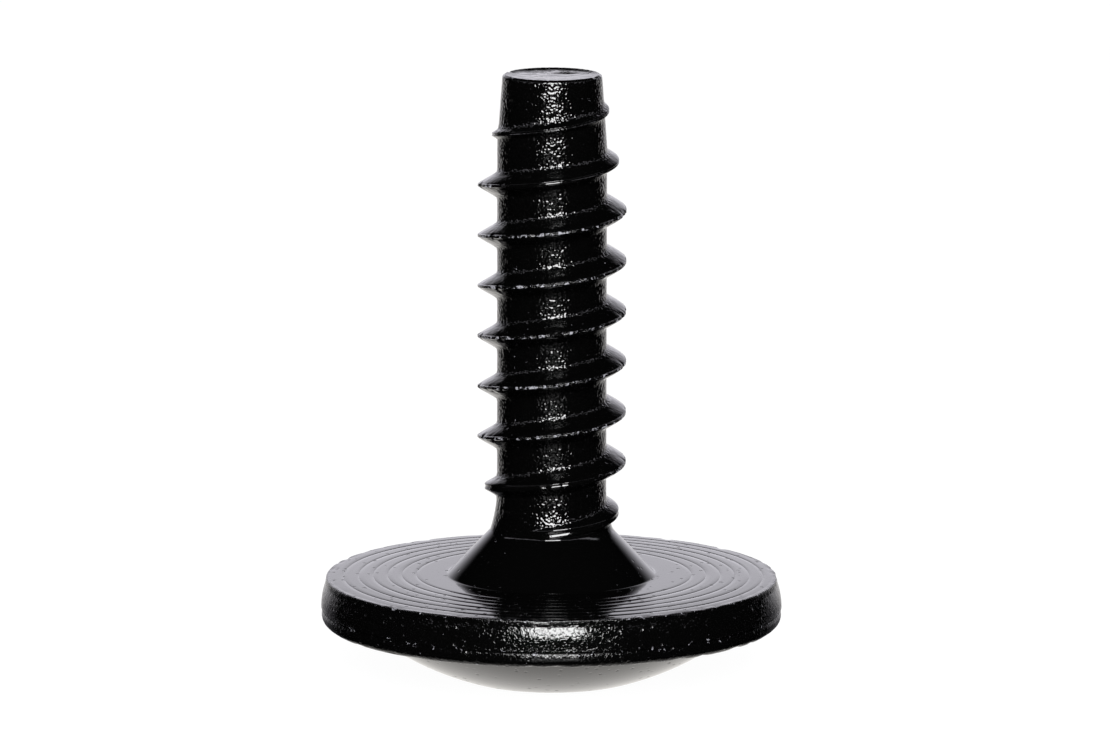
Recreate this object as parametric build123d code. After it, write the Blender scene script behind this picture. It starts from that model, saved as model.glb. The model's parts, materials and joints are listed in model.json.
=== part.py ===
from build123d import *
import math
import os

# A flange-head tapping screw, cold-headed from one piece of steel wire and thread-rolled.
# It is one solid. All sizes are in millimetres.
# The screw stands on its head: z = 0 is the narrow flat ring round the drive recess,
# +Z is the screw's axis and points at the blunt tip, and x = y = 0 is on that axis.

# Shank and thread. The thread is the coarse, right-hand, 60 degree one of size 4.8.
length_under_head = 16.0
thread_major_diameter = 4.70
thread_core_diameter = 3.45
thread_pitch = 1.60
thread_angle = 60.0
thread_crest_flat = 0.10
thread_first_crest = 3.68       # height of the crest over the bearing face, on the +X side
tip_plain_height = 0.50         # plain cone left between the tip face and the thread's start

# The dies don't fill the thread's last turn at either end: it is low there, then fades out
head_low_share = 0.66           # height of the low turn by the head, as a share of the full one
head_flat_share = 0.40          # its crest stays wider, by this share of what the lost height would show
head_low_end_turns = 0.45       # it is low from here on, below the first full crest
head_end_turns = 1.45           # and it is gone here
head_step_turns = 0.35          # each change of height takes this part of a turn
tip_low_share = 0.38            # the same at the tip
tip_low_start_turns = 1.80      # the thread loses its full height here, below its end
tip_step_turns = 0.70
tip_fade_turns = 0.50

# Tip
tip_diameter = 3.12
tip_taper_length = 2.30
tip_edge_break = 0.12

# Neck and collar, which lead from the shank to the flange
neck_flare = 0.215              # what the radius grows by along the neck
neck_length = 1.32
collar_height = 1.48
collar_half_angle = 42.4

# Flange
flange_diameter = 14.56
flange_top_inset = 0.17         # the rim is a barrel: narrower at the bearing face
flange_barrel_height = 0.98
flange_die_inset = 0.06         # the line that the upper die leaves on the rim
flange_lower_inset = 0.22       # the rim draws in again under that line
flange_height = 1.50
rim_edge_break = 0.12
ledge_width = 1.05              # flat step under the flange, outside the dome

# Domed head and its six-lobed drive recess
dome_radius = 9.60
foot_land_width = 0.30
recess_outer_diameter = 4.50
recess_inner_diameter = 3.27
recess_lobe_radius = 0.38
recess_depth = 1.80
recess_lead_in = 0.25
recess_lead_in_angle = 60.0     # half angle of the countersunk mouth
recess_floor_angle = 12.0
lobe_count = 6

# Heights and radii that follow from the sizes above
flange_radius = flange_diameter / 2
recess_radius = recess_outer_diameter / 2
dome_base_radius = flange_radius - flange_lower_inset - ledge_width
foot_radius = recess_radius + recess_lead_in + foot_land_width
dome_height = (math.sqrt(dome_radius**2 - foot_radius**2)
               - math.sqrt(dome_radius**2 - dome_base_radius**2))
bearing_z = dome_height + flange_height
tip_z = bearing_z + length_under_head
core_radius = thread_core_diameter / 2
major_radius = thread_major_diameter / 2
neck_radius = core_radius + neck_flare
collar_base_radius = neck_radius + collar_height * math.tan(math.radians(collar_half_angle))

last_turn = (length_under_head - tip_plain_height - thread_first_crest) / thread_pitch
full_height_turn = last_turn - tip_low_start_turns

# The thread's own solid reaches this far into the shank, and its ends lie under the surface
thread_root_overlap = 0.12
thread_end_cover = 0.05
sections_per_turn = 12
turns_per_span = 3


def share(value, start, end):
    """How far value has come from start to end, kept between 0 and 1."""
    return min(1.0, max(0.0, (value - start) / (end - start)))


def core_radius_at(z):
    """Radius of the plain shank at height z, which narrows towards the tip."""
    taper = share(z, tip_z - tip_taper_length, tip_z)
    return core_radius + taper * (tip_diameter / 2 - core_radius)


def blank_profile():
    """Half section of the headed blank, in the XZ plane, from the foot to the tip."""
    die_line_z = bearing_z - flange_barrel_height
    dome_middle_radius = (foot_radius + dome_base_radius) / 2
    dome_centre_z = math.sqrt(dome_radius**2 - foot_radius**2)
    dome_middle_z = dome_centre_z - math.sqrt(dome_radius**2 - dome_middle_radius**2)

    foot_edge = (foot_radius, 0)
    dome_middle = (dome_middle_radius, dome_middle_z)
    dome_top = (dome_base_radius, dome_height)
    lower_edge = (flange_radius - flange_lower_inset, dome_height)
    die_line = (flange_radius - flange_die_inset, die_line_z)
    barrel_middle = (flange_radius, (bearing_z + die_line_z) / 2)
    top_edge = (flange_radius - flange_top_inset, bearing_z)
    collar_foot = (collar_base_radius, bearing_z)
    neck_foot = (neck_radius, bearing_z + collar_height)
    shank_start = (core_radius, bearing_z + collar_height + neck_length)
    taper_start = (core_radius, tip_z - tip_taper_length)
    tip_corner = (tip_diameter / 2, tip_z)

    with BuildSketch(Plane.XZ) as section:
        with BuildLine():
            Line((0, 0), foot_edge)
            ThreePointArc(foot_edge, dome_middle, dome_top)
            Polyline(dome_top, lower_edge, die_line)
            ThreePointArc(die_line, barrel_middle, top_edge)
            Polyline(top_edge, collar_foot, neck_foot)
            TangentArc(shank_start, neck_foot, tangent=(0, -1))
            Polyline(shank_start, taper_start, tip_corner, (0, tip_z), (0, 0))
        make_face()
        broken = [(top_edge, rim_edge_break), (lower_edge, rim_edge_break), (tip_corner, tip_edge_break)]
        for corner, size in broken:
            chamfer(section.vertices().sort_by_distance(corner)[0], size)
    return section.sketch


def lobe_and_flute():
    """Centre distance and radius of the recess's outer lobes and of the flutes between them."""
    half_step = math.pi / lobe_count
    lobe_centre = recess_radius - recess_lobe_radius
    inner = recess_inner_diameter / 2
    reach = lobe_centre * math.cos(half_step)
    flute_radius = ((recess_lobe_radius**2 - lobe_centre**2 - inner**2 + 2 * inner * reach)
                    / (2 * (inner - reach - recess_lobe_radius)))
    return lobe_centre, inner + flute_radius, flute_radius


def polar(radius, angle):
    return radius * math.cos(angle), radius * math.sin(angle)


def recess_outline():
    """Six-lobed outline of tangent arcs, which touches both recess diameters."""
    lobe_centre, flute_centre, flute_radius = lobe_and_flute()
    step = 2 * math.pi / lobe_count
    inner = recess_inner_diameter / 2
    with BuildSketch() as outline:
        with BuildLine():
            for index in range(lobe_count):
                angle = index * step
                lobe = Vector(*polar(lobe_centre, angle))
                before = Vector(*polar(flute_centre, angle - step / 2))
                after = Vector(*polar(flute_centre, angle + step / 2))
                following = Vector(*polar(lobe_centre, angle + step))
                lobe_start = lobe + (before - lobe).normalized() * recess_lobe_radius
                lobe_end = lobe + (after - lobe).normalized() * recess_lobe_radius
                flute_end = following + (after - following).normalized() * recess_lobe_radius
                ThreePointArc(lobe_start, polar(recess_radius, angle), lobe_end)
                ThreePointArc(lobe_end, polar(inner, angle + step / 2), flute_end)
        make_face()
    return outline.sketch


def drive_recess():
    """The shape of the punch: lobed walls, a shallow cone floor and a lead-in at the mouth."""
    floor_drop = recess_radius * math.tan(math.radians(recess_floor_angle))
    lobes = extrude(recess_outline(), amount=recess_depth + floor_drop)
    with BuildSketch(Plane.XZ) as section:
        Polygon((0, 0), (recess_radius, 0), (recess_radius, recess_depth),
                (0, recess_depth + floor_drop), align=None)
    punch = lobes & revolve(section.sketch, Axis.Z)
    mouth_radius = recess_radius + recess_lead_in
    lead_in = Cone(mouth_radius, 0, mouth_radius / math.tan(math.radians(recess_lead_in_angle)),
                   align=(Align.CENTER, Align.CENTER, Align.MIN))
    return punch + lead_in


def crest_height_shares(turn):
    """Height of the thread at a turn, as the share of full height that each end leaves it."""
    head_low = share(turn, -head_end_turns, head_step_turns - head_end_turns)
    head_full = share(turn, -head_low_end_turns, head_step_turns - head_low_end_turns)
    tip_low = share(turn, last_turn, last_turn - tip_fade_turns)
    tip_full = share(turn, full_height_turn + tip_step_turns, full_height_turn)
    by_head = head_low_share * head_low + (1 - head_low_share) * head_full
    by_tip = tip_low_share * tip_low + (1 - tip_low_share) * tip_full
    return by_head, by_tip


def thread_section(turn):
    """Cross-section of the thread in the plane through the axis at one point of its helix."""
    z = bearing_z + thread_first_crest + thread_pitch * turn
    slope = math.tan(math.radians(thread_angle / 2))
    full_height = major_radius - core_radius
    by_head, by_tip = crest_height_shares(turn)
    shank = core_radius_at(z)
    crest = shank + (full_height + thread_end_cover) * min(by_head, by_tip) - thread_end_cover
    unfilled = (1 - by_head) * full_height
    root = shank - thread_root_overlap
    crest_half = thread_crest_flat / 2 + head_flat_share * unfilled * slope
    root_half = crest_half + (crest - root) * slope
    plane = Plane(origin=(0, 0, z), x_dir=(math.cos(math.tau * turn), math.sin(math.tau * turn), 0),
                  z_dir=(math.sin(math.tau * turn), -math.cos(math.tau * turn), 0))
    corners = [(root, -root_half), (crest, -crest_half), (crest, crest_half), (root, root_half)]
    return plane * make_face(Polyline(*corners, close=True))


def thread_span(start, end):
    """One stretch of the thread, lofted through its cross-sections along the helix."""
    steps = math.ceil((end - start) * sections_per_turn)
    return loft([thread_section(start + (end - start) * step / steps) for step in range(steps + 1)])


def thread():
    """The thread in a row of spans: fading out by the head, full turns, and low at the tip."""
    count = math.ceil(full_height_turn / turns_per_span)
    ends = [full_height_turn * index / count for index in range(count + 1)]
    ends = [-head_end_turns] + ends + [last_turn]
    return [thread_span(start, end) for start, end in zip(ends, ends[1:])]


def screw():
    blank = revolve(blank_profile(), Axis.Z)
    return (blank + thread()) - drive_recess()


os.makedirs("parts", exist_ok=True)
export_step(screw(), "parts/screw.step")
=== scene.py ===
# %% [markdown]
# # A flange-head tapping screw that stands on its head
# The real screw is one piece of steel wire. Its wide head is pressed cold between two dies, and
# its thread is rolled in between two flat plates, so no metal is cut away. A thin glossy black
# coat covers all of it. This lesson builds it in the same order: first the headed blank, then the
# thread, then the marks of handling, and last the coat and the studio.
#
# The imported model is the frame. It gives the real size, so the script measures it before it
# adds anything, and every new point stays inside its box.

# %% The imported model
import json
import math

import bpy
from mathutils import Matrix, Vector


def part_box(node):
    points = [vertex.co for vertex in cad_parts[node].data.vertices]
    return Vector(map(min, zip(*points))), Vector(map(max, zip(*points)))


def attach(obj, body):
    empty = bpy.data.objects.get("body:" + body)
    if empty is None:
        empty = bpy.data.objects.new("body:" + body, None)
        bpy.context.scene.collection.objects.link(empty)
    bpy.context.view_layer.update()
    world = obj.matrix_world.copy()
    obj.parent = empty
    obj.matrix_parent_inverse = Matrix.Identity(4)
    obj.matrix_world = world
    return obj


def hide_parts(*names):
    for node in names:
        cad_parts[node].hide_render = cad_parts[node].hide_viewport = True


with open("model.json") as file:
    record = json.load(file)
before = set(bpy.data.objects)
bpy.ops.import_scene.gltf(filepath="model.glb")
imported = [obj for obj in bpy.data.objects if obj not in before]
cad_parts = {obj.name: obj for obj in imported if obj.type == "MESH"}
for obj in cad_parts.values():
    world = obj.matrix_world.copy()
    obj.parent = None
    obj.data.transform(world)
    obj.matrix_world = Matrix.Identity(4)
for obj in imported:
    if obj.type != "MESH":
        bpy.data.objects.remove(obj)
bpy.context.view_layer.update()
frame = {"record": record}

mounts = {mount["name"]: mount for mount in frame["record"]["mounts"]}
screw_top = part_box("screw")[1]
mm = 0.001
bearing_z = mounts["bearing_face"]["pos_m"][2]
tip_z = screw_top.z
flange_radius = screw_top.x
print(f"flange radius {flange_radius / mm:.3f} mm")
print(f"bearing face at {bearing_z / mm:.3f} mm, tip at {tip_z / mm:.3f} mm")

# %% [markdown]
# ## Sizes
# A screw is a row of standard sizes: pitch, core and major diameter, flank angle. They are
# written here in millimetres and turned to metres, Blender's unit. The heights hang on the two
# values that the frame gives, the bearing face and the tip.

# %% Sizes of the shank and the thread
core_radius = 1.725 * mm
major_radius = 2.35 * mm
pitch = 1.60 * mm
flank_angle = math.radians(30)
crest_flat = 0.10 * mm
first_crest_z = bearing_z + 3.68 * mm
tip_plain_height = 0.50 * mm
tip_radius = 1.56 * mm
taper_start_z = tip_z - 2.30 * mm
neck_flare = 0.215 * mm
neck_foot_z = bearing_z + 1.48 * mm
neck_top_z = neck_foot_z + 1.32 * mm
neck_radius = core_radius + neck_flare
collar_angle = math.radians(42.4)
collar_base_radius = neck_radius + (neck_foot_z - bearing_z) * math.tan(collar_angle)
thread_end_turn = (tip_z - tip_plain_height - first_crest_z) / pitch
print(f"{thread_end_turn:.2f} turns from the first full crest to the end of the thread")

# %% Sizes of the head
rim_top_inset = 0.16 * mm
rim_die_inset = 0.008 * mm
rim_lower_inset = 0.22 * mm
die_line_z = bearing_z - 1.01 * mm
ledge_z = bearing_z - 1.50 * mm
dome_sphere_radius = 9.60 * mm
dome_base_radius = 6.01 * mm
foot_radius = 2.80 * mm
rim_top_radius = flange_radius - rim_top_inset
die_line_radius = flange_radius - rim_die_inset
lower_rim_radius = flange_radius - rim_lower_inset
print(f"the rim is {rim_top_radius / mm:.2f} mm at its top and {die_line_radius / mm:.2f} mm at its widest")

# %% Sizes of the drive recess
recess_radius = 2.25 * mm
recess_inner_radius = 1.635 * mm
lobe_radius = 0.38 * mm
lobe_count = 6
recess_depth = 1.80 * mm
mouth_radius = 2.50 * mm
mouth_angle = math.radians(60)
floor_angle = math.radians(12)

# %% [markdown]
# ## The headed blank
# The blank is turned work in shape, though it is pressed: nearly every section through its axis
# is the same. So it is made from a half section, a line of points from the middle of the tip
# down to the foot. A corner of pressed steel is never quite sharp, so each corner of the line
# carries a small radius. That is what lets an edge catch light in a render.

# %% Lines, arcs and rounded corners
arc_steps = 4


def between(start, end, steps):
    """Points that divide the stretch from start to end, with the end and without the start."""
    return [start.lerp(end, step / steps) for step in range(1, steps + 1)]


def divided(line, longest):
    """The same line with points added, so that no stretch of it is longer than asked."""
    points = [line[0]]
    for start, end in zip(line, line[1:]):
        points += between(start, end, max(1, math.ceil((end - start).length / longest)))
    return points


def arc(centre, start, end, steps):
    """Points along the arc from start to end round a centre."""
    from_start, to_end = (start - centre).normalized(), (end - centre).normalized()
    radius = (start - centre).length
    return [centre + from_start.slerp(to_end, step / steps) * radius for step in range(steps + 1)]


def arc_through(start, middle, end, steps):
    """Points on the circle through three points, from the first to the last."""
    ax, ay = middle - start
    bx, by = end - start
    double_area = 2 * (ax * by - ay * bx)
    a_square, b_square = ax * ax + ay * ay, bx * bx + by * by
    offset = Vector((by * a_square - ay * b_square, ax * b_square - bx * a_square)) / double_area
    return arc(start + offset, start, end, steps)


def rounded(corners):
    """Points along a line of corners (radius, height, rounding), with an arc at each rounding."""
    line = [Vector(corners[0][:2])]
    for before, corner, after in zip(corners, corners[1:], corners[2:]):
        point, rounding = Vector(corner[:2]), corner[2]
        if rounding == 0:
            line.append(point)
            continue
        back = (Vector(before[:2]) - point).normalized()
        ahead = (Vector(after[:2]) - point).normalized()
        half_angle = back.angle(ahead) / 2
        reach = rounding / math.tan(half_angle)
        centre = point + (back + ahead).normalized() * rounding / math.sin(half_angle)
        line += arc(centre, point + back * reach, point + ahead * reach, arc_steps)
    return line + [Vector(corners[-1][:2])]


# %% [markdown]
# ## The tip
# The wire was sheared off, so the tip is a short cone with a flat end. A shear drags the metal at
# the cut, which leaves the end slightly dished inside a rounded lip. The line runs from the
# middle outwards and down the cone, and it stops where the thread's own mesh takes over.

# %% The tip: a short cone with a dished end
tip_dish_depth = 0.06 * mm
tip_dish_radius, tip_lip_radius = 1.26 * mm, 1.47 * mm
tip_shoulder_z = tip_z - 0.07 * mm
dish_rounding, lip_rounding = 0.12 * mm, 0.04 * mm
thread_top_z = tip_z - 0.30 * mm
tip_row_spacing = 0.08 * mm


def shank_radius(z):
    """Radius of the plain shank: collar, flared neck, straight core and tapered tip."""
    neck = min(1, max(0, (neck_top_z - z) / (neck_top_z - neck_foot_z)))
    taper = max(0, (z - taper_start_z) / (tip_z - taper_start_z))
    collar = max(0, neck_foot_z - z) * math.tan(collar_angle)
    return core_radius + neck_flare * neck ** 2 + collar + (tip_radius - core_radius) * taper


tip_line = divided(rounded([
    (0, tip_z - tip_dish_depth, 0),
    (tip_dish_radius, tip_z - tip_dish_depth, dish_rounding),
    (tip_lip_radius, tip_z, lip_rounding),
    (shank_radius(tip_shoulder_z), tip_shoulder_z, lip_rounding),
    (shank_radius(thread_top_z), thread_top_z, 0),
]), tip_row_spacing)
print(f"{len(tip_line)} points from the middle of the tip to the thread's upper end")

# %% [markdown]
# ## The die rings on the bearing face
# The face under the flange was pressed by a turned die, and it keeps the die's tool marks: six
# fine rings, not quite centred. The face is also slightly crowned. Both are real shape here,
# as small dips and a rise of the half section.

# %% The bearing face with its crown and rings
first_ring, ring_spacing, ring_count = 4.34 * mm, 0.456 * mm, 6
ring_radii = [first_ring + ring_spacing * index for index in range(ring_count)]
ring_depth = 0.016 * mm
ring_half_width = 0.014 * mm
ring_rows = [-0.03 * mm, -0.013 * mm, 0, 0.013 * mm, 0.03 * mm]
crown_height = 0.06 * mm
face_step = 0.10 * mm


def bearing_height(radius):
    """Height of the bearing face at a radius: the crown falls off to the rim, and rings are cut in it."""
    share = (radius - collar_base_radius) / (rim_top_radius - collar_base_radius)
    crown = crown_height * (1 - share ** 2)
    rings = sum(math.exp(-((radius - ring) / ring_half_width) ** 2) for ring in ring_radii)
    return bearing_z + crown - ring_depth * rings


def face_rows(start, end):
    """Radii of the face's rows of points: evenly spaced, with close rows across each ring."""
    count = math.ceil((end - start) / face_step)
    even = [start + (end - start) * step / count for step in range(1, count + 1)]
    clear = [radius for radius in even if all(abs(radius - ring) > face_step for ring in ring_radii)]
    return sorted(clear + [ring + row for ring in ring_radii for row in ring_rows])


# %% The collar and the face round it
thread_foot_z = neck_foot_z - 0.12 * mm
collar_root_rounding = 0.10 * mm
face_start_radius = collar_base_radius + 0.30 * mm
face_end_radius = rim_top_radius - 0.16 * mm
collar_row_spacing = 0.14 * mm

collar_line = divided(rounded([
    (shank_radius(thread_foot_z), thread_foot_z, 0),
    (collar_base_radius, bearing_height(collar_base_radius), collar_root_rounding),
    (face_start_radius, bearing_height(face_start_radius), 0),
]), collar_row_spacing)
face_line = [Vector((radius, bearing_height(radius)))
             for radius in face_rows(collar_line[-1].x, face_end_radius)]
print(f"{len(face_line)} rings of points on the bearing face")

# %% [markdown]
# ## The rim
# Two dies close round the head, and the rim keeps the signs of it. Its upper part is a barrel
# that leans in towards the bearing face. A narrow crease runs round it where the dies met, with
# a rounded bead under it, and from there the rim draws in to the ledge. The barrel and the band
# under the bead are arcs through three measured points each.

# %% The rim, from the bearing face to the ledge
barrel_steps, band_steps = 8, 5
barrel_top = Vector((flange_radius - 0.138 * mm, bearing_z - 0.22 * mm))
barrel_middle = Vector((flange_radius - 0.048 * mm, bearing_z - 0.55 * mm))
barrel_foot = Vector((die_line_radius, die_line_z + 0.06 * mm))
barrel = arc_through(barrel_top, barrel_middle, barrel_foot, barrel_steps)

band_top = Vector((die_line_radius - 0.016 * mm, die_line_z - 0.15 * mm))
band_middle = Vector((flange_radius - 0.055 * mm, die_line_z - 0.33 * mm))
band_foot = Vector((lower_rim_radius + 0.04 * mm, ledge_z + 0.03 * mm))
band = arc_through(band_top, band_middle, band_foot, band_steps)

crease_depth, crease_height, crease_width = 0.05 * mm, 0.05 * mm, 0.04 * mm
crease_radius = die_line_radius - crease_depth
top_rounding, barrel_rounding, bead_rounding, lower_rounding = 0.06 * mm, 0.05 * mm, 0.04 * mm, 0.03 * mm
crease_lip_rounding, crease_rounding = 0.012 * mm, 0.02 * mm
dome_root_rounding = 0.12 * mm
dome_side_inset, dome_side_drop = 0.20 * mm, 0.16 * mm
rim_row_spacing = 0.16 * mm

rim_line = divided(rounded([
    (*face_line[-1], 0),
    (rim_top_radius, bearing_z, top_rounding),
    (*barrel[0], barrel_rounding),
    *[(*point, 0) for point in barrel[1:-1]],
    (die_line_radius, die_line_z + crease_height, crease_lip_rounding),
    (crease_radius, die_line_z, crease_rounding),
    (crease_radius, die_line_z - crease_width, crease_rounding),
    (*band[0], bead_rounding),
    *[(*point, 0) for point in band[1:]],
    (lower_rim_radius, ledge_z, lower_rounding),
    (dome_base_radius, ledge_z, dome_root_rounding),
    (dome_base_radius - dome_side_inset, ledge_z - dome_side_drop, 0),
]), rim_row_spacing)[1:]
print(f"{len(rim_line)} points round the rim")

# %% The dome, a part of a sphere, and the flat ring that it stands on
dome_steps = 22
dome_centre_z = math.sqrt(dome_sphere_radius ** 2 - foot_radius ** 2)
dome_start = math.asin((dome_base_radius - 0.25 * mm) / dome_sphere_radius)
dome_end = math.asin(foot_radius / dome_sphere_radius)
dome_line = []
for step in range(dome_steps + 1):
    angle = dome_start + (dome_end - dome_start) * step / dome_steps
    dome_line.append(Vector((math.sin(angle), -math.cos(angle))) * dome_sphere_radius
                     + Vector((0, dome_centre_z)))
foot_line = [Vector((foot_radius - 0.10 * mm, 0)), Vector((mouth_radius, 0))]
head_line = collar_line + face_line + rim_line + dome_line + foot_line
print(f"{len(head_line)} points from the thread's lower end to the mouth of the recess")

# %% [markdown]
# ## The drive recess
# A six-lobed punch makes the recess in the dome. Its outline is twelve tangent arcs, six lobes
# and six flutes. In polar form each arc is one root, so the wall's distance from the axis is a
# rule of the angle, and every column of the mesh follows the same four stops: mouth, top of the
# wall, foot of the wall, middle of the floor.

# %% The lobed wall as a rule of the angle
half_lobe = math.pi / lobe_count
lobe_centre = recess_radius - lobe_radius
lobe_reach = lobe_centre * math.cos(half_lobe)
flute_radius = ((lobe_radius ** 2 - lobe_centre ** 2 - recess_inner_radius ** 2
                 + 2 * recess_inner_radius * lobe_reach)
                / (2 * (recess_inner_radius - lobe_reach - lobe_radius)))
flute_centre = recess_inner_radius + flute_radius
touch_x = flute_centre * math.cos(half_lobe) - lobe_centre
touch_y = flute_centre * math.sin(half_lobe)
touch_share = lobe_radius / (lobe_radius + flute_radius)
touch_angle = math.atan2(touch_y * touch_share, lobe_centre + touch_x * touch_share)
print(f"lobes of {lobe_radius / mm:.2f} mm and flutes of {flute_radius / mm:.2f} mm radius")


def wall_radius(angle):
    """Distance from the axis to the recess's wall: a lobe's far arc or a flute's near arc."""
    off_lobe = abs((angle + half_lobe) % (2 * half_lobe) - half_lobe)
    if off_lobe < touch_angle:
        side = lobe_centre * math.sin(off_lobe)
        return lobe_centre * math.cos(off_lobe) + math.sqrt(lobe_radius ** 2 - side ** 2)
    off_flute = half_lobe - off_lobe
    side = flute_centre * math.sin(off_flute)
    return flute_centre * math.cos(off_flute) - math.sqrt(flute_radius ** 2 - side ** 2)


# %% The recess's half section at one angle
mouth_steps, wall_steps, floor_steps = 2, 7, 6
wall_top_rounding, wall_foot_rounding = 0.04 * mm, 0.10 * mm
floor_middle = recess_depth + recess_radius * math.tan(floor_angle)


def recess_section(angle):
    """Half section of the recess at one angle, from the mouth's cone to the middle of the floor."""
    wall = wall_radius(angle)
    stops = rounded([
        (mouth_radius, 0, 0),
        (wall, (mouth_radius - wall) / math.tan(mouth_angle), wall_top_rounding),
        (wall, floor_middle - wall * math.tan(floor_angle), wall_foot_rounding),
        (0, floor_middle, 0),
    ])
    mouth, middle = stops[0], stops[-1]
    top_arc, foot_arc = stops[1:arc_steps + 2], stops[arc_steps + 2:-1]
    return [mouth, *between(mouth, top_arc[0], mouth_steps), *top_arc[1:],
            *between(top_arc[-1], foot_arc[0], wall_steps), *foot_arc[1:],
            *between(foot_arc[-1], middle, floor_steps)]


# %% Skin the sections into one mesh
columns = 216


def skin(sections):
    """Points and outward quads over one half section for each column, all with as many points."""
    points, faces = [], []
    for column, section in enumerate(sections):
        angle = 2 * math.pi * column / columns
        points += [(spot.x * math.cos(angle), spot.x * math.sin(angle), spot.y) for spot in section]
    rows = len(sections[0])
    for column in range(columns):
        here, beside = column * rows, (column + 1) % columns * rows
        faces += [(here + row, here + row + 1, beside + row + 1, beside + row) for row in range(rows - 1)]
    return points, faces


tip_points, tip_faces = skin([tip_line] * columns)
head_points, head_faces = skin([head_line + recess_section(2 * math.pi * column / columns)[1:]
                                for column in range(columns)])
head_faces = [tuple(index + len(tip_points) for index in face) for face in head_faces]
blank_mesh = bpy.data.meshes.new("headed blank")
blank_mesh.from_pydata(tip_points + head_points, [], tip_faces + head_faces)
screw = bpy.data.objects.new("screw_body", blank_mesh)
bpy.context.scene.collection.objects.link(screw)
print(f"blank: {len(blank_mesh.vertices)} points and {len(blank_mesh.polygons)} quads")

# %% Push the rings off centre, as far as the collar and the rim leave room
ring_offset = 0.08 * mm
shift_start, shift_end = collar_base_radius, rim_top_radius - 0.10 * mm
shift_growth, shift_fade = 1.0 * mm, 0.6 * mm
for point in blank_mesh.vertices:
    radius = math.hypot(point.co.x, point.co.y)
    if abs(point.co.z - bearing_z) < crown_height + ring_depth:
        within = min(1, (radius - shift_start) / shift_growth, (shift_end - radius) / shift_fade)
        point.co.x += ring_offset * max(0, within)

# %% [markdown]
# ## One way to add a node
# Node trees are long lists of the same act: add a node, set it, link it. One small function
# does that act for geometry and material trees alike, so a tree below reads as a list of steps.

# %% Adding nodes and running a tree
math_node, range_node, noise_node = "ShaderNodeMath", "ShaderNodeMapRange", "ShaderNodeTexNoise"
vector_node, split_node, join_node = "ShaderNodeVectorMath", "ShaderNodeSeparateXYZ", "ShaderNodeCombineXYZ"
soft = {"interpolation_type": "SMOOTHSTEP"}


def add(tree, kind, *values, named=(), **settings):
    """Adds a node with its settings. Values go to its inputs in order, named ones by their names."""
    node = tree.nodes.new(kind)
    for name, value in settings.items():
        setattr(node, name, value)
    open_inputs = [socket for socket in node.inputs if socket.enabled]
    pairs = list(zip(open_inputs, values))
    pairs += [(node.inputs[name], value) for name, value in dict(named).items()]
    for socket, value in pairs:
        if isinstance(value, bpy.types.Node):
            value = next(output for output in value.outputs if output.enabled)
        if isinstance(value, bpy.types.NodeSocket):
            tree.links.new(value, socket)
        elif value is not None:
            socket.default_value = value
    return node


def new_tree(name, sizes):
    """A geometry tree with one named input for each size, and its group input node."""
    tree = bpy.data.node_groups.new(name, "GeometryNodeTree")
    tree.interface.new_socket("Geometry", in_out="INPUT", socket_type="NodeSocketGeometry")
    tree.interface.new_socket("Geometry", in_out="OUTPUT", socket_type="NodeSocketGeometry")
    for title, value in sizes.items():
        kind = "NodeSocketInt" if isinstance(value, int) else "NodeSocketFloat"
        tree.interface.new_socket(title, in_out="INPUT", socket_type=kind)
    return tree, tree.nodes.new("NodeGroupInput").outputs


def finish_tree(tree, shape):
    """Ends a tree: instances made real, the coat as the material, and the group's output."""
    whole = add(tree, "GeometryNodeRealizeInstances", shape)
    coated = add(tree, "GeometryNodeSetMaterial", whole, named={"Material": black_coat})
    add(tree, "NodeGroupOutput", coated)


def run_tree(piece, tree, sizes):
    """Runs a tree on a piece with these sizes and keeps the result as its plain mesh."""
    modifier = piece.modifiers.new(tree.name, "NODES")
    modifier.node_group = tree
    for item in tree.interface.items_tree:
        if item.in_out == "INPUT" and item.name in sizes:
            modifier[item.identifier] = sizes[item.name]
    evaluated = piece.evaluated_get(bpy.context.evaluated_depsgraph_get())
    mesh = bpy.data.meshes.new_from_object(evaluated)
    piece.modifiers.remove(modifier)
    piece.data = mesh


black_coat = bpy.data.materials.new("glossy black coat on rolled steel")

# %% [markdown]
# ## The rolled thread
# Two plates roll the thread, and the metal rises between their ribs. The result is one ridge on
# a helix, 60 degrees between its flanks. Going up from the neck it is low for a turn, keeps its
# full height for nearly six turns, is low again on the tip's cone and fades out there.
#
# A screw modifier could sweep one profile, but the profile changes at both ends. So the thread is
# a rule instead: a flat grid, as long as all turns and as wide as one pitch, is bent round the
# axis, and each point's radius follows from its turn and its height over the crest's line. The
# grid's rows run along the crest, which keeps the edge clean. Above and below, the rows are
# clamped to two plain circles, where the blank waits, and the meshes are welded there.

# %% Sizes that the thread's tree takes
thread_sizes = {
    "Pitch": pitch,
    "First Crest Height": first_crest_z,
    "Core Radius": core_radius,
    "Ridge Height": major_radius - core_radius,
    "Crest Flat": crest_flat,
    "Flank Slope": math.tan(flank_angle),
    "Crest Rounding": 0.05 * mm,
    "Root Rounding": 0.11 * mm,
    "Lower End": thread_foot_z,
    "Upper End": thread_top_z,
    "Thread End Turn": thread_end_turn,
    "Lap Depth": 0.03 * mm,
    "Columns Per Turn": columns,
}
first_turn, last_turn = -2, 9
rows_per_pitch, crest_rows, flank_rows = 26, 4, 5

# %% How much of its full height the ridge has at each turn
head_low_share, head_flat_share = 0.66, 0.40
head_end_turn, head_low_end_turn, head_step_turns = -1.45, -0.45, 0.35
tip_low_share = 0.38
tip_low_start_turns, tip_step_turns, tip_fade_turns = 1.80, 0.70, 0.50


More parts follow.
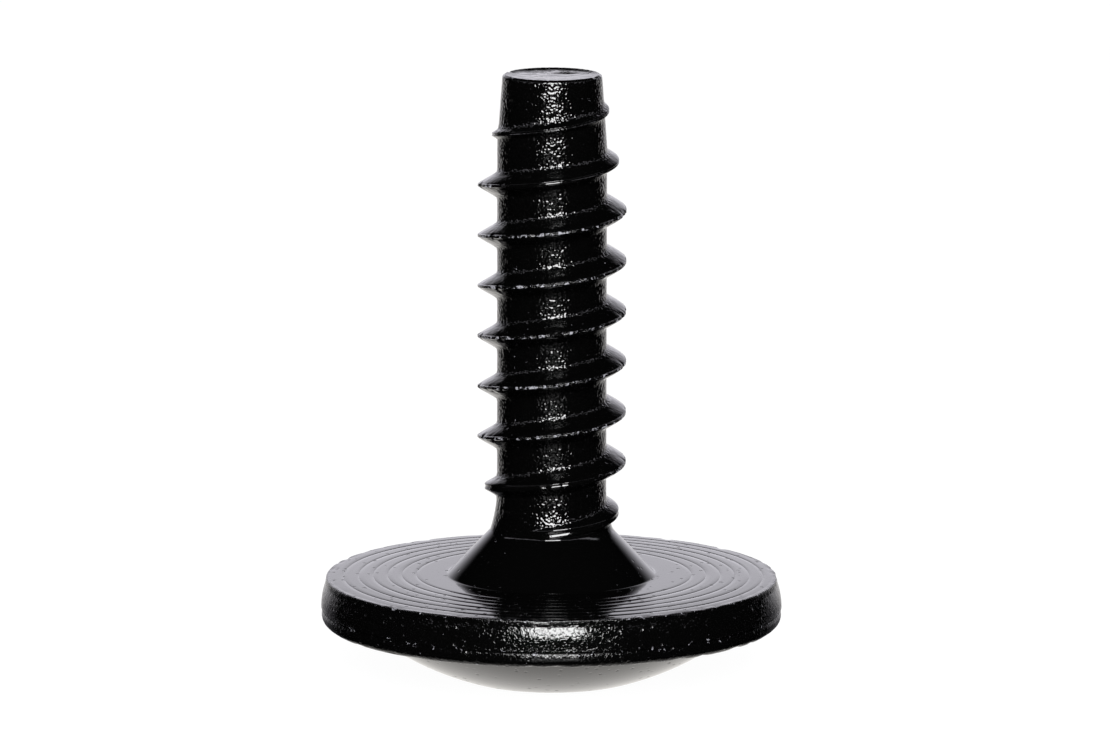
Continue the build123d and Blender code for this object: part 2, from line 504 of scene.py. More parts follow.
def add_fill(tree, turn, to_end):
    """How full the plates were at a turn, by the head alone and in all: a low turn, then nothing."""
    head_low_done, head_full_turn = head_end_turn + head_step_turns, head_low_end_turn + head_step_turns
    head_low = add(tree, range_node, turn, head_end_turn, head_low_done, 0, head_low_share)
    head_full = add(tree, range_node, turn, head_low_end_turn, head_full_turn, 0, 1 - head_low_share)
    by_head = add(tree, math_node, head_low, head_full, operation="ADD")
    tip_step_start = tip_low_start_turns - tip_step_turns
    tip_low = add(tree, range_node, to_end, 0, tip_fade_turns, 0, tip_low_share)
    tip_full = add(tree, range_node, to_end, tip_step_start, tip_low_start_turns, 0, 1 - tip_low_share)
    by_tip = add(tree, math_node, tip_low, tip_full, operation="ADD")
    return by_head, add(tree, math_node, by_head, by_tip, operation="MINIMUM")


# %% [markdown]
# The ridge's two ends lie just under the shank. Past the end at the tip it sinks deeper, by the
# root's rounding, because the rounded joint would otherwise lift the upper circle a little, and
# the weld wouldn't close.

# %% The height of the ridge and the half widths of its crest and flanks
end_cover = 0.05 * mm
sink_turns = 0.10
narrowest_flank = 0.02 * mm


def add_ridge(tree, size, by_head, fill, to_end):
    """The crest's height over the shank, the half width of its flat, and the width of a flank."""
    full_rise = add(tree, math_node, size["Ridge Height"], end_cover, operation="ADD")
    ridge = add(tree, math_node, fill, full_rise, -end_cover, operation="MULTIPLY_ADD")
    sunk = add(tree, range_node, to_end, 0, -sink_turns, 0, size["Root Rounding"])
    ridge = add(tree, math_node, ridge, sunk, operation="SUBTRACT")
    missing = add(tree, math_node, 1, by_head, operation="SUBTRACT")
    missing = add(tree, math_node, missing, size["Ridge Height"], operation="MULTIPLY")
    spread = add(tree, math_node, missing, head_flat_share * math.tan(flank_angle), operation="MULTIPLY")
    crest_half = add(tree, math_node, size["Crest Flat"], 0.5, spread, operation="MULTIPLY_ADD")
    flank_width = add(tree, math_node, ridge, size["Flank Slope"], operation="MULTIPLY")
    flank_width = add(tree, math_node, flank_width, narrowest_flank, operation="MAXIMUM")
    return ridge, crest_half, flank_width


# %% Rows that keep to the crest, the flanks and the root, so that corners fall on rows
def add_height(tree, size, across_pitch, crest_z, crest_half, flank_width):
    """Height of each point, from its place across the pitch, clamped to the two plain circles."""
    ridge_half = add(tree, math_node, crest_half, flank_width, operation="ADD")
    half_pitch = add(tree, math_node, size["Pitch"], 0.5, operation="MULTIPLY")
    root_width = add(tree, math_node, half_pitch, ridge_half, operation="SUBTRACT")
    row = add(tree, math_node, across_pitch, operation="ABSOLUTE")
    crest_edge = 2 * crest_rows / rows_per_pitch
    root_edge = crest_edge + 2 * flank_rows / rows_per_pitch
    on_crest = add(tree, range_node, row, 0, crest_edge, 0, crest_half)
    on_flank = add(tree, range_node, row, crest_edge, root_edge, 0, flank_width)
    on_root = add(tree, range_node, row, root_edge, 1, 0, root_width)
    off_crest = add(tree, math_node, on_crest, on_flank, operation="ADD")
    off_crest = add(tree, math_node, off_crest, on_root, operation="ADD")
    side = add(tree, math_node, across_pitch, operation="SIGN")
    free_z = add(tree, math_node, off_crest, side, crest_z, operation="MULTIPLY_ADD")
    return add(tree, "ShaderNodeClamp", free_z, size["Lower End"], size["Upper End"])


# %% The plain shank at a height, as nodes: collar, flared neck, straight core, tapered tip
def add_shank(tree, size, z):
    neck = add(tree, range_node, z, neck_top_z, neck_foot_z, 0, 1)
    neck_square = add(tree, math_node, neck, 2, operation="POWER")
    taper = add(tree, range_node, z, taper_start_z, tip_z, size["Core Radius"], tip_radius)
    flared = add(tree, math_node, neck_square, neck_flare, taper, operation="MULTIPLY_ADD")
    collar = add(tree, range_node, z, neck_foot_z, bearing_z, 0, collar_base_radius - neck_radius)
    return add(tree, math_node, flared, collar, operation="ADD")


# %% [markdown]
# On the low turns the plates weren't full. Two lips of metal rose there and met on the crest,
# with a lap between them, a shallow groove along the crest. A faint one is left on the full turns.

# %% The lap between the two lips on the crest
lap_share_on_full_turns, lap_width_share = 0.25, 0.8


def add_lap(tree, size, distance, crest_half, fill):
    """Depth of the lap at a distance from the crest's line."""
    unfilled = add(tree, math_node, 1, fill, operation="SUBTRACT")
    lap_share = add(tree, range_node, unfilled, 0, 1 - head_low_share, lap_share_on_full_turns, 1)
    across_lap = add(tree, math_node, distance, crest_half, operation="DIVIDE")
    in_lap = add(tree, range_node, across_lap, 0, lap_width_share, 1, 0, **soft)
    lap = add(tree, math_node, in_lap, lap_share, operation="MULTIPLY")
    return add(tree, math_node, lap, size["Lap Depth"], operation="MULTIPLY")


# %% The thread's tree: where each point of the grid goes
weld_distance = 0.001 * mm


def thread_tree():
    tree, size = new_tree("rolled thread", thread_sizes)
    turns = last_turn - first_turn
    long_side = add(tree, math_node, size["Columns Per Turn"], turns, 1, operation="MULTIPLY_ADD")
    grid = add(tree, "GeometryNodeMeshGrid", turns, 2, long_side, rows_per_pitch + 1)
    place = add(tree, split_node, add(tree, "GeometryNodeInputPosition")).outputs
    turn = add(tree, math_node, place["X"], (first_turn + last_turn) / 2, operation="ADD")
    crest_z = add(tree, math_node, turn, size["Pitch"], size["First Crest Height"], operation="MULTIPLY_ADD")
    to_end = add(tree, math_node, size["Thread End Turn"], turn, operation="SUBTRACT")
    by_head, fill = add_fill(tree, turn, to_end)
    ridge, crest_half, flank_width = add_ridge(tree, size, by_head, fill, to_end)
    crest_core = add(tree, range_node, crest_z, taper_start_z, tip_z, core_radius, tip_radius)
    crest_radius = add(tree, math_node, crest_core, ridge, operation="ADD")
    z = add_height(tree, size, place["Y"], crest_z, crest_half, flank_width)

    # The ridge stands on the shank, with a rounded crest and a fillet in each root
    offset = add(tree, math_node, z, crest_z, operation="SUBTRACT")
    distance = add(tree, math_node, offset, operation="ABSOLUTE")
    past_crest = add(tree, math_node, distance, crest_half, operation="SUBTRACT")
    down_flank = add(tree, math_node, past_crest, 0, size["Crest Rounding"], operation="SMOOTH_MAX")
    drop = add(tree, math_node, down_flank, size["Flank Slope"], operation="DIVIDE")
    flank = add(tree, math_node, crest_radius, drop, operation="SUBTRACT")
    lap = add_lap(tree, size, distance, crest_half, fill)
    flank = add(tree, math_node, flank, lap, operation="SUBTRACT")
    shank = add_shank(tree, size, z)
    radius = add(tree, math_node, shank, flank, size["Root Rounding"], operation="SMOOTH_MAX")

    # The flat grid is bent round the axis, joined to the blank and welded to it
    angle = add(tree, math_node, turn, 2 * math.pi, operation="MULTIPLY")
    x = add(tree, math_node, add(tree, math_node, angle, operation="COSINE"), radius, operation="MULTIPLY")
    y = add(tree, math_node, add(tree, math_node, angle, operation="SINE"), radius, operation="MULTIPLY")
    bent = add(tree, "GeometryNodeSetPosition", grid, None, add(tree, join_node, x, y, z))
    both = tree.nodes.new("GeometryNodeJoinGeometry")
    tree.links.new(size["Geometry"], both.inputs[0])
    tree.links.new(bent.outputs[0], both.inputs[0])
    finish_tree(tree, add(tree, "GeometryNodeMergeByDistance", both, named={"Distance": weld_distance}))
    return tree


run_tree(screw, thread_tree(), thread_sizes)
print(f"with its thread: {len(screw.data.vertices)} points, {len(screw.data.polygons)} faces")

# %% [markdown]
# ## The marks of handling
# The finished screws are tumbled clean, coated and poured from box to box, so they knock against
# each other. Every outer edge gets small chips: the crest of the thread, both edges of the rim
# and the edge of the tip. The wire's end was sheared, which leaves a torn, dented face.
#
# Each is a rule too: how near a point is to an edge, times a patch of noise, is how far it is
# pushed in. Nothing is pushed out, so the screw keeps its size.

# %% Sizes of the marks
wear_sizes = {
    "Chip Size": 0.36 * mm,
    "Chip Depth": 0.045 * mm,
    "Edge Reach": 0.20 * mm,
    "Tear Size": 0.60 * mm,
    "Tear Depth": 0.022 * mm,
    "Pit Width": 0.30 * mm,
    "Pit Depth": 0.14 * mm,
}
worn_corners = [(rim_top_radius, bearing_z), (lower_rim_radius, ledge_z), (tip_lip_radius, tip_z)]
edge_full_width = 0.04 * mm
worn_crest = (major_radius - 0.16 * mm, major_radius - 0.04 * mm)
chip_edge = (0.56, 0.68)
ripples_per_chip, ripple_share = 3, 0.35

# %% Chips: nearness to an edge times patches of noise
def add_chips(tree, size, position, place, radius):
    """How deep the chips are at a point."""
    in_section = add(tree, join_node, radius, 0, place["Z"])
    top_radius = add(tree, range_node, radius, *worn_crest, 0, 1)
    on_thread = add(tree, math_node, place["Z"], neck_foot_z, operation="GREATER_THAN")
    near = add(tree, math_node, top_radius, on_thread, operation="MULTIPLY")
    for corner_radius, corner_z in worn_corners:
        corner = add(tree, vector_node, in_section, (corner_radius, 0, corner_z), operation="DISTANCE")
        distance = corner.outputs["Value"]
        near_corner = add(tree, range_node, distance, edge_full_width, size["Edge Reach"], 1, 0)
        near = add(tree, math_node, near, near_corner, operation="MAXIMUM")

    # A finer noise keeps every edge from being even between the chips
    per_chip = add(tree, math_node, 1, size["Chip Size"], operation="DIVIDE")
    patches = add(tree, noise_node, position, named={"Scale": per_chip, "Detail": 2})
    chips = add(tree, range_node, patches, *chip_edge, 0, 1)
    per_ripple = add(tree, math_node, per_chip, ripples_per_chip, operation="MULTIPLY")
    ripple = add(tree, noise_node, position, named={"Scale": per_ripple, "Detail": 1})
    knock = add(tree, math_node, ripple, ripple_share, chips, operation="MULTIPLY_ADD")
    knock = add(tree, math_node, knock, near, operation="MULTIPLY")
    return add(tree, math_node, knock, size["Chip Depth"], operation="MULTIPLY")


# %% The sheared end: torn waves and one oval pit
end_face = (tip_z - 0.09 * mm, tip_z - 0.07 * mm)
end_edge = (tip_lip_radius - 0.10 * mm, tip_lip_radius)
tear_span = (0.35, 0.65)
pit_place = (0.44 * mm, 0.62 * mm, tip_z)
pit_squeeze = (0.5, 1, 1)


def add_torn_end(tree, size, position, place, radius):
    """How deep the torn waves and the pit are at a point."""
    at_end = add(tree, range_node, place["Z"], *end_face, 0, 1)
    inside_lip = add(tree, range_node, radius, *end_edge, 1, 0)
    at_end = add(tree, math_node, at_end, inside_lip, operation="MULTIPLY")
    per_tear = add(tree, math_node, 1, size["Tear Size"], operation="DIVIDE")
    tears = add(tree, noise_node, position, named={"Scale": per_tear, "Detail": 3})
    torn = add(tree, range_node, tears, *tear_span, 0, size["Tear Depth"])
    from_pit = add(tree, vector_node, position, pit_place, operation="SUBTRACT")
    from_pit = add(tree, vector_node, from_pit, pit_squeeze, operation="MULTIPLY")
    from_pit = add(tree, vector_node, from_pit, operation="LENGTH").outputs["Value"]
    pit = add(tree, range_node, from_pit, 0, size["Pit Width"], size["Pit Depth"], 0, **soft)
    both = add(tree, math_node, torn, pit, operation="ADD")
    return add(tree, math_node, both, at_end, operation="MULTIPLY")


# %% The tree of the marks: chips go in along the normal, the torn end goes down
def wear_tree():
    tree, size = new_tree("marks of handling", wear_sizes)
    position = add(tree, "GeometryNodeInputPosition")
    place = add(tree, split_node, position).outputs
    across = add(tree, join_node, place["X"], place["Y"])
    radius = add(tree, vector_node, across, operation="LENGTH").outputs["Value"]
    chip_depth = add_chips(tree, size, position, place, radius)
    end_depth = add_torn_end(tree, size, position, place, radius)
    inward = add(tree, vector_node, add(tree, "GeometryNodeInputNormal"), operation="SCALE",
                 named={"Scale": add(tree, math_node, chip_depth, -1, operation="MULTIPLY")})
    down = add(tree, join_node, 0, 0, add(tree, math_node, end_depth, -1, operation="MULTIPLY"))
    offset = add(tree, vector_node, inward, down, operation="ADD")
    finish_tree(tree, add(tree, "GeometryNodeSetPosition", size["Geometry"], named={"Offset": offset}))
    return tree


unworn = [point.co.copy() for point in screw.data.vertices]
run_tree(screw, wear_tree(), wear_sizes)
moved = [(point.co - old).length for point, old in zip(screw.data.vertices, unworn)]
print(f"{sum(1 for step in moved if step > 0.01 * mm)} points moved, the deepest by {max(moved) / mm:.3f} mm")
screw.data.shade_smooth()

# %% [markdown]
# ## The camera
# The picture was taken with a long lens, a little from above. The flatness of the flange's ellipse
# gives the camera's height, and the whole outline was fitted for its distance and lens. The screw
# stands a few pixels left of the middle, which a small sideways shift of the lens gives without
# turning the camera.

# %% The camera
camera_distance = 268.5 * mm
camera_height = 56.83 * mm
target_height = 9.78 * mm
camera_roll = math.radians(0.1)
frame_width_px, sensor_width = 1110, 36
focal_px = 8663
axis_px = 551.8
camera_data = bpy.data.cameras.new("camera")
camera_data.sensor_width = sensor_width
camera_data.lens = focal_px / frame_width_px * sensor_width
camera_data.shift_x = (frame_width_px / 2 - axis_px) / frame_width_px
camera_data.clip_start, camera_data.clip_end = 0.01, 10
camera = bpy.data.objects.new("camera", camera_data)
camera.location = (0, -camera_distance, camera_height)
look = Vector((0, 0, target_height)) - camera.location
camera.rotation_euler = look.to_track_quat("-Z", "Y").to_euler()
camera.rotation_euler.rotate_axis("Z", camera_roll)
bpy.context.scene.collection.objects.link(camera)
bpy.context.scene.camera = camera
print(f"lens {camera_data.lens:.0f} mm at {look.length / mm:.0f} mm from the screw")

# %% [markdown]
# ## The glossy black coat
# The coat is a thin black paint, laid on by current over steel that was never polished. It is
# black in itself, so nearly all that the eye sees of it is what it mirrors: a little where the
# surface is seen straight on, and much at a glancing angle. A Principled shader with paint's
# IOR of 1.5 and a low roughness does that by itself.
#
# So thin a film hides nothing of the steel's surface, and that differs from place to place. The
# bearing face and the dome were pressed by polished dies and are nearly smooth. The rim swelled
# out freely and is pebbled and pricked with pinholes. The core between the turns has the grain of
# the rolling plates, and the sheared end is wavy. A mask for each of these places says how much of
# each pattern it takes. All patterns read the object's own coordinates, so they stay put.

# %% Colours and pattern sizes of the coat
# The bare steel grey is worn coat on the edges. Along the thread's crest it is also a painted highlight.
coat_black, bare_steel_and_highlight_grey = "#030303", "#88888E"
# The real grain is finer than a pixel of this picture, 0.03 mm, and would only turn the black
# grey. It is drawn coarser, so that it still breaks up the streak that the lamp makes.
grain_size = 0.08 * mm
pebble_size = 0.16 * mm
wave_size = 0.24 * mm
pit_spacing = 0.32 * mm
fleck_size = 0.17 * mm


def linear(code):
    """A linear colour from an sRGB hex code."""
    parts = [int(code[start:start + 2], 16) / 255 for start in (1, 3, 5)]
    return [part / 12.92 if part <= 0.04045 else ((part + 0.055) / 1.055) ** 2.4 for part in parts] + [1]


# %% Where each kind of surface begins and ends
off_face = (0.09 * mm, 0.16 * mm)
face_outer_edge = (rim_top_radius - 0.12 * mm, rim_top_radius)
rolling_start = (neck_foot_z - 0.10 * mm, neck_foot_z + 0.30 * mm)
sheared_end = (tip_z - 0.12 * mm, tip_z - 0.07 * mm)
ridge_root = (core_radius + 0.06 * mm, core_radius + 0.18 * mm)
grain_on_ridge = 0.1
rim_bottom = (ledge_z - 0.02 * mm, ledge_z + 0.02 * mm)
rim_top = (bearing_z + 0.08 * mm, bearing_z + 0.09 * mm)

black_coat.use_nodes = True
coat = black_coat.node_tree
place = add(coat, "ShaderNodeTexCoord").outputs["Object"]
spot = add(coat, split_node, place).outputs
across = add(coat, join_node, spot["X"], spot["Y"])
off_axis = add(coat, vector_node, across, operation="LENGTH").outputs["Value"]
over_face = add(coat, math_node, spot["Z"], bearing_z, operation="SUBTRACT")
over_face = add(coat, math_node, over_face, operation="ABSOLUTE")
near_face = add(coat, range_node, over_face, *off_face, 1, 0)
inside_rim = add(coat, range_node, off_axis, *face_outer_edge, 1, 0)
pressed = add(coat, math_node, near_face, inside_rim, operation="MULTIPLY")
above_neck = add(coat, range_node, spot["Z"], *rolling_start, 0, 1)
sheared = add(coat, range_node, spot["Z"], *sheared_end, 0, 1)
rolled = add(coat, math_node, above_neck, sheared, operation="SUBTRACT")
off_ridge = add(coat, range_node, off_axis, *ridge_root, 1, grain_on_ridge)
core = add(coat, math_node, rolled, off_ridge, operation="MULTIPLY")
above_ledge = add(coat, range_node, spot["Z"], *rim_bottom, 0, 1)
below_face = add(coat, range_node, spot["Z"], *rim_top, 1, 0)
rim = add(coat, math_node, above_ledge, below_face, operation="MULTIPLY")
rim = add(coat, math_node, rim, pressed, operation="SUBTRACT", use_clamp=True)

# %% Grain, waves, pebbles and pinholes
pebble_edge, pinhole_edge = (0.44, 0.54), (0.59, 0.69)
grain = add(coat, noise_node, place, named={"Scale": 1 / grain_size, "Detail": 0})
wave = add(coat, noise_node, place, named={"Scale": 1 / wave_size, "Detail": 1.5})
pebbles = add(coat, noise_node, place, named={"Scale": 1 / pebble_size, "Detail": 2})
pebbles = add(coat, range_node, pebbles, *pebble_edge, 0, 1, **soft)
pebbles = add(coat, math_node, pebbles, rim, operation="MULTIPLY")
pinholes = add(coat, range_node, grain, *pinhole_edge, 0, 1)
pinholes = add(coat, math_node, pinholes, rim, operation="MULTIPLY")

# %% Small round pits, in some of the cells of a cell pattern and fewer of them above the flange
pit_edge, pit_chance = (0.11, 0.22), 0.60
fewer_pits, fewer_pits_share = (bearing_z + 0.15 * mm, bearing_z + 0.20 * mm), 0.3
cells = add(coat, "ShaderNodeTexVoronoi", place, named={"Scale": 1 / pit_spacing})
pits = add(coat, range_node, cells.outputs["Distance"], *pit_edge, 1, 0)
kept = add(coat, split_node, cells.outputs["Color"])
kept = add(coat, math_node, kept, 1 - pit_chance, operation="GREATER_THAN")
pits = add(coat, math_node, pits, kept, operation="MULTIPLY")
fewer = add(coat, range_node, spot["Z"], *fewer_pits, 1, fewer_pits_share)
pits = add(coat, math_node, pits, fewer, operation="MULTIPLY")

# %% [markdown]
# The coat is duller in the grooves of the die rings, in broken stretches. The distance to the
# nearest ring comes from a modulo of the radius round the rings' own centre.

# %% The dull line in each die ring
ring_line_width, faintest_ring = (0.010 * mm, 0.045 * mm), 0.2
wave_span = (0.35, 0.65)
ring_middle = first_ring + ring_spacing * (ring_count - 1) / 2
ring_reach = ring_spacing * ring_count / 2
centred = add(coat, vector_node, across, (ring_offset, 0, 0), operation="SUBTRACT")
ring_radius = add(coat, vector_node, centred, operation="LENGTH").outputs["Value"]
from_rings = add(coat, math_node, ring_radius, ring_middle, operation="SUBTRACT")
from_rings = add(coat, math_node, from_rings, operation="ABSOLUTE")
in_rings = add(coat, math_node, from_rings, ring_reach, operation="LESS_THAN")
from_ring = add(coat, math_node, ring_radius, first_ring, operation="SUBTRACT")
from_ring = add(coat, math_node, from_ring, ring_spacing / 2, operation="ADD")
from_ring = add(coat, math_node, from_ring, ring_spacing, operation="FLOORED_MODULO")
from_ring = add(coat, math_node, from_ring, ring_spacing / 2, operation="SUBTRACT")
from_ring = add(coat, math_node, from_ring, operation="ABSOLUTE")
ring_line = add(coat, range_node, from_ring, *ring_line_width, 1, 0)
ring_breaks = add(coat, range_node, wave, *wave_span, faintest_ring, 1)
for mask in (in_rings, pressed, ring_breaks):
    ring_line = add(coat, math_node, ring_line, mask, operation="MULTIPLY")

# %% Worn edges: flecks where the coat is rubbed through to grey steel, and along the crest the same grey as a painted highlight
edge_reach, edge_full, edge_wear = 0.16 * mm, 0.03 * mm, 0.10
crest_band, crest_wear_and_highlight = (major_radius - 0.05 * mm, major_radius - 0.015 * mm), 0.16
fleck_edge = (0.71, 0.74)
section = add(coat, join_node, off_axis, 0, spot["Z"])
from_edge = edge_reach
for corner_radius, corner_z in worn_corners + [(die_line_radius, die_line_z)]:
    corner = add(coat, vector_node, section, (corner_radius, 0, corner_z), operation="DISTANCE")
    from_edge = add(coat, math_node, corner.outputs["Value"], from_edge, operation="MINIMUM")
worn_edge = add(coat, range_node, from_edge, edge_full, edge_reach, edge_wear, 0)
# Along the crest the grey flecks are partly worn coat and partly a painted highlight of the crest's edge
crest_wear_and_highlight_line = add(coat, range_node, off_axis, *crest_band, 0, crest_wear_and_highlight)
crest_wear_and_highlight_line = add(coat, math_node, crest_wear_and_highlight_line, rolled, operation="MULTIPLY")
wear_and_crest_highlight = add(coat, math_node, worn_edge, crest_wear_and_highlight_line, operation="MAXIMUM")
fleck_noise = add(coat, noise_node, place, named={"Scale": 1 / fleck_size, "Detail": 4, "Roughness": 0.7})
fleck = add(coat, math_node, fleck_noise, wear_and_crest_highlight, operation="ADD")
fleck = add(coat, range_node, fleck, *fleck_edge, 0, 1)
ragged_edge = add(coat, math_node, wear_and_crest_highlight, fleck_noise, operation="MULTIPLY")

# %% Heights of the relief, place by place
grain_anywhere, grain_on_rim, grain_on_core = 0.0004 * mm, 0.003 * mm, 0.028 * mm
wave_anywhere, wave_on_rim, wave_on_thread, wave_on_end = 0.0006 * mm, 0.006 * mm, 0.010 * mm, 0.012 * mm
pebble_height, pinhole_depth, pit_depth, ragged_height = 0.002 * mm, 0.0036 * mm, 0.014 * mm, 0.3 * mm

grain_height = add(coat, math_node, rim, grain_on_rim, grain_anywhere, operation="MULTIPLY_ADD")
grain_height = add(coat, math_node, core, grain_on_core, grain_height, operation="MULTIPLY_ADD")
wave_height = add(coat, math_node, rim, wave_on_rim, wave_anywhere, operation="MULTIPLY_ADD")
wave_height = add(coat, math_node, rolled, wave_on_thread, wave_height, operation="MULTIPLY_ADD")
wave_height = add(coat, math_node, sheared, wave_on_end, wave_height, operation="MULTIPLY_ADD")
relief = add(coat, math_node, grain, grain_height, operation="MULTIPLY")
for pattern, pattern_height in [(wave, wave_height), (pebbles, pebble_height), (pinholes, -pinhole_depth),
                                (pits, -pit_depth), (ragged_edge, ragged_height)]:
    relief = add(coat, math_node, pattern, pattern_height, relief, operation="MULTIPLY_ADD")

# %% Relief, roughness and colour go into the shader
glossiest, dullest = 0.05, 0.10
ring_dullness, pit_dullness, fleck_dullness = 0.12, 0.2, 0.3
bump = add(coat, "ShaderNodeBump", named={"Height": relief, "Distance": 1.0})
rough = add(coat, range_node, wave, *wave_span, glossiest, dullest)
for mark, dullness in [(ring_line, ring_dullness), (pits, pit_dullness), (fleck, fleck_dullness)]:
    rough = add(coat, math_node, mark, dullness, rough, operation="MULTIPLY_ADD")
colour = add(coat, "ShaderNodeMix", fleck, linear(coat_black), linear(bare_steel_and_highlight_grey), data_type="RGBA")
shader = coat.nodes["Principled BSDF"]
shader.inputs["IOR"].default_value = 1.5
coat.links.new(colour.outputs["Result"], shader.inputs["Base Color"])
coat.links.new(rough.outputs[0], shader.inputs["Roughness"])
coat.links.new(bump.outputs["Normal"], shader.inputs["Normal"])
print(f"the coat's material has {len(coat.nodes)} nodes")

# %% [markdown]
# ## The studio
# Gloss black shows nothing but its surroundings, so here the studio is half of the finish. The
# screw stands on a white pad with a bright wall behind it, and the room on the camera's side is
# dark. The bearing face mirrors the wall and the dome mirrors a painted glow on the pad, both at a
# glancing angle, so they look pale. The shank's front mirrors the dark room and stays black. One
# lamp, high in front, gives the broken streak down the middle, and a narrow strip of light, round
# the room's front and sides and still higher, does the same for what leans back a little more.
#
# The camera itself sees plain white. Light Path's Is Camera Ray picks that out, so the white
# background puts no extra light on the screw, and the floor still keeps a soft shadow.

# %% The room: white to the camera, a bright wall and a dark side to reflections
wall_azimuth = math.radians(1)
wall_edge, wall_glow, wall_tint = 0.70, 1.28, "#F8F6FF"
ambient = 0.35
world = bpy.data.worlds.new("studio")
bpy.context.scene.world = world
world.use_nodes = True
room = world.node_tree
room.nodes.clear()
rays = add(room, "ShaderNodeLightPath").outputs
toward = add(room, "ShaderNodeTexCoord").outputs["Generated"]
wall_way = (math.sin(wall_azimuth), math.cos(wall_azimuth), 0)
depth = add(room, vector_node, toward, wall_way, operation="DOT_PRODUCT").outputs["Value"]
wall = add(room, range_node, depth, wall_edge, 1.0, 0.0, wall_glow, **soft)

# %% The strip of light, and what each kind of ray sees of the room
# The strip's limits are heights on a sphere of radius 1, so 0.5 is 30 degrees up
strip_low, strip_high, strip_blur, strip_glow = 0.49, 0.63, 0.05, 2.0
strip_back_edge = (0.15, 0.35)
height = add(room, split_node, toward).outputs["Z"]
over_low = add(room, range_node, height, strip_low, strip_low + strip_blur, 0.0, strip_glow, **soft)
under_high = add(room, range_node, height, strip_high - strip_blur, strip_high, 1.0, 0.0, **soft)
in_front = add(room, range_node, depth, *strip_back_edge, 1.0, 0.0, **soft)
strip = add(room, math_node, over_low, under_high, operation="MULTIPLY")
strip = add(room, math_node, strip, in_front, operation="MULTIPLY")

mirrored = add(room, math_node, wall, strip, operation="ADD")
seen = add(room, math_node, rays["Is Camera Ray"], rays["Is Transmission Ray"], operation="MAXIMUM")
lit = add(room, "ShaderNodeMix", rays["Is Glossy Ray"], ambient, mirrored)
lit = add(room, "ShaderNodeMix", seen, lit, 1.0)
tint = add(room, "ShaderNodeMix", seen, linear(wall_tint), (1, 1, 1, 1), data_type="RGBA")
add(room, "ShaderNodeOutputWorld", add(room, "ShaderNodeBackground", tint, lit))
print(f"the room has {len(room.nodes)} nodes")

# %% [markdown]
# The floor is a white acrylic pad. To the camera it is white with the screw's shadow. What the
# screw mirrors of it is a painted reflection: a glow that only glossy rays see. It is bright under
# and near the head, where the head's own shade would fall, bright towards the wall, and dark in
# front. At a glancing angle the pad mirrors the screw in turn.

# %% The pad's mesh
pad_half = 3.0
pad_mesh = bpy.data.meshes.new("pad")
pad_corners = [(x * pad_half, y * pad_half, 0) for x, y in [(-1, -1), (1, -1), (1, 1), (-1, 1)]]
pad_mesh.from_pydata(pad_corners, [], [(0, 1, 2, 3)])
pad = bpy.data.objects.new("pad", pad_mesh)
bpy.context.scene.collection.objects.link(pad)

# %% The pad's white acrylic, with a painted glow that only reflections see
glow_radius, glow_front = (6.3 * mm, 7.6 * mm), (-7.8 * mm, -5.8 * mm)
glow_strength, glow_tint = 1.15, "#FFFCF8"
wall_side = (0.60, 1.0)
pad_white, pad_shade, pad_grey = 0.97, (0.10, 0.10, 0.10, 1), (0.8, 0.8, 0.8, 1)
gloss_roughness, gloss_ior = 0.08, 1.15
white_acrylic = bpy.data.materials.new("white acrylic pad with painted reflection glow")
white_acrylic.use_nodes = True
pad_mesh.materials.append(white_acrylic)
acrylic = white_acrylic.node_tree
acrylic.nodes.clear()
rays = add(acrylic, "ShaderNodeLightPath").outputs
spot = add(acrylic, split_node, add(acrylic, "ShaderNodeTexCoord").outputs["Object"]).outputs
away = add(acrylic, join_node, spot["X"], spot["Y"])
away = add(acrylic, vector_node, away, operation="LENGTH").outputs["Value"]
# Painted reflection glow: bright under the head, where its shade would fall, cut off in front and bright
# towards the wall
near_head = add(acrylic, range_node, away, *glow_radius, 1.0, 0.0)
painted_glow_past_front = add(acrylic, range_node, spot["Y"], *glow_front, 0.0, 1.0)
toward_wall = add(acrylic, math_node, spot["Y"], away, operation="DIVIDE")
behind = add(acrylic, range_node, toward_wall, *wall_side, 0.0, 1.0, **soft)
painted_glow = add(acrylic, math_node, near_head, painted_glow_past_front, operation="MULTIPLY")
painted_glow = add(acrylic, math_node, painted_glow, glow_strength, operation="MULTIPLY")
painted_glow = add(acrylic, math_node, painted_glow, behind, operation="MAXIMUM")

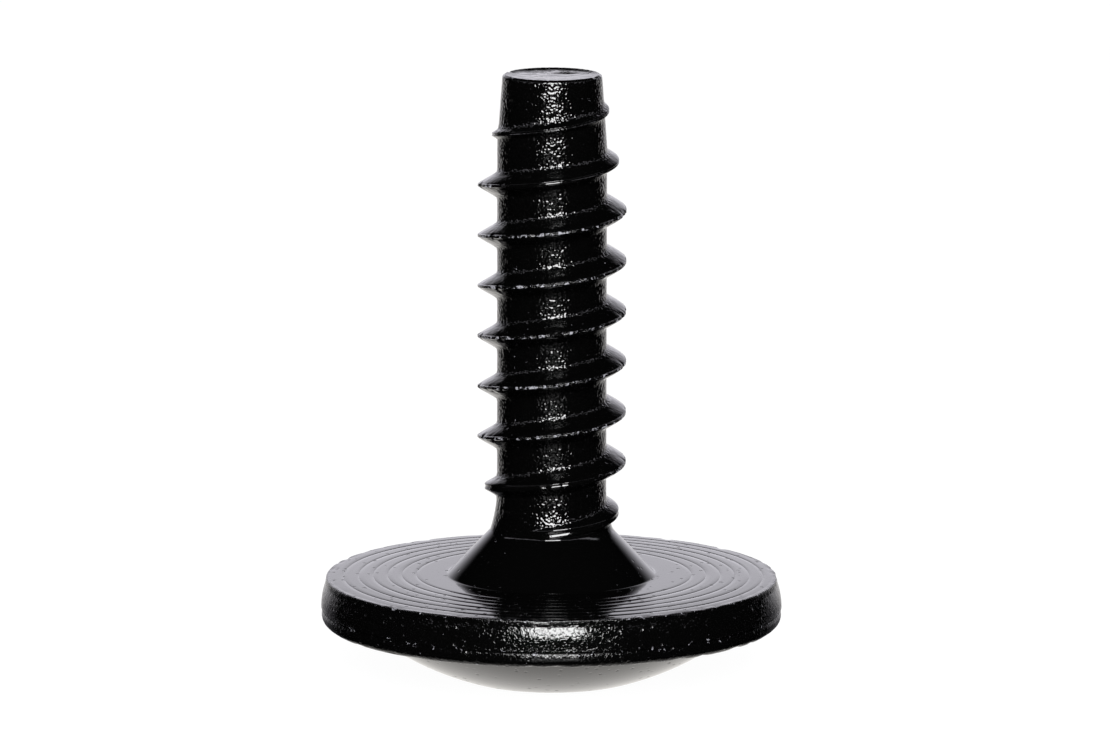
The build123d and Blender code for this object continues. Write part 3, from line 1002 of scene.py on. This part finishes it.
# The painted glow is an emission that only glossy rays see. It is no lamp and lights nothing.
painted_glow_shader = add(acrylic, "ShaderNodeEmission", linear(glow_tint), painted_glow)
gloss = add(acrylic, "ShaderNodeBsdfAnisotropic", named={"Roughness": gloss_roughness})
facing = add(acrylic, "ShaderNodeFresnel", gloss_ior)
mirrored = add(acrylic, "ShaderNodeMixShader", facing, painted_glow_shader, gloss)
white = add(acrylic, "ShaderNodeEmission", (1, 1, 1, 1), pad_white)
shadow = add(acrylic, "ShaderNodeBsdfDiffuse", pad_shade)
seen_pad = add(acrylic, "ShaderNodeAddShader", white, shadow)
plain_pad = add(acrylic, "ShaderNodeBsdfDiffuse", pad_grey)
seen = add(acrylic, math_node, rays["Is Camera Ray"], rays["Is Transmission Ray"], operation="MAXIMUM")
shown = add(acrylic, "ShaderNodeMixShader", seen, plain_pad, seen_pad)
shown = add(acrylic, "ShaderNodeMixShader", rays["Is Glossy Ray"], shown, mirrored)
add(acrylic, "ShaderNodeOutputMaterial", shown)
print(f"the pad's material has {len(acrylic.nodes)} nodes")

# %% The lamp in front
lamp_azimuth, lamp_elevation = math.radians(2), math.radians(26)
lamp_distance = 300 * mm
lamp_data = bpy.data.lights.new("front lamp", "AREA")
lamp_data.shape = "RECTANGLE"
lamp_data.size, lamp_data.size_y = 140 * mm, 155 * mm
lamp_data.energy = 1.5
lamp = bpy.data.objects.new("front lamp", lamp_data)
lamp_way = Vector((math.sin(lamp_azimuth) * math.cos(lamp_elevation),
                   -math.cos(lamp_azimuth) * math.cos(lamp_elevation), math.sin(lamp_elevation)))
lamp.location = Vector((0, 0, tip_z / 2)) + lamp_way * lamp_distance
lamp.rotation_euler = (-lamp_way).to_track_quat("-Z", "Y").to_euler()
bpy.context.scene.collection.objects.link(lamp)
bpy.context.scene.view_settings.view_transform = "Standard"
print(f"the lamp hangs {lamp.location.z / mm:.0f} mm over the pad")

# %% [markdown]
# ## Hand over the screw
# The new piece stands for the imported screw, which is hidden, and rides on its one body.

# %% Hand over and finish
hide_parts("screw")
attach(screw, "root")
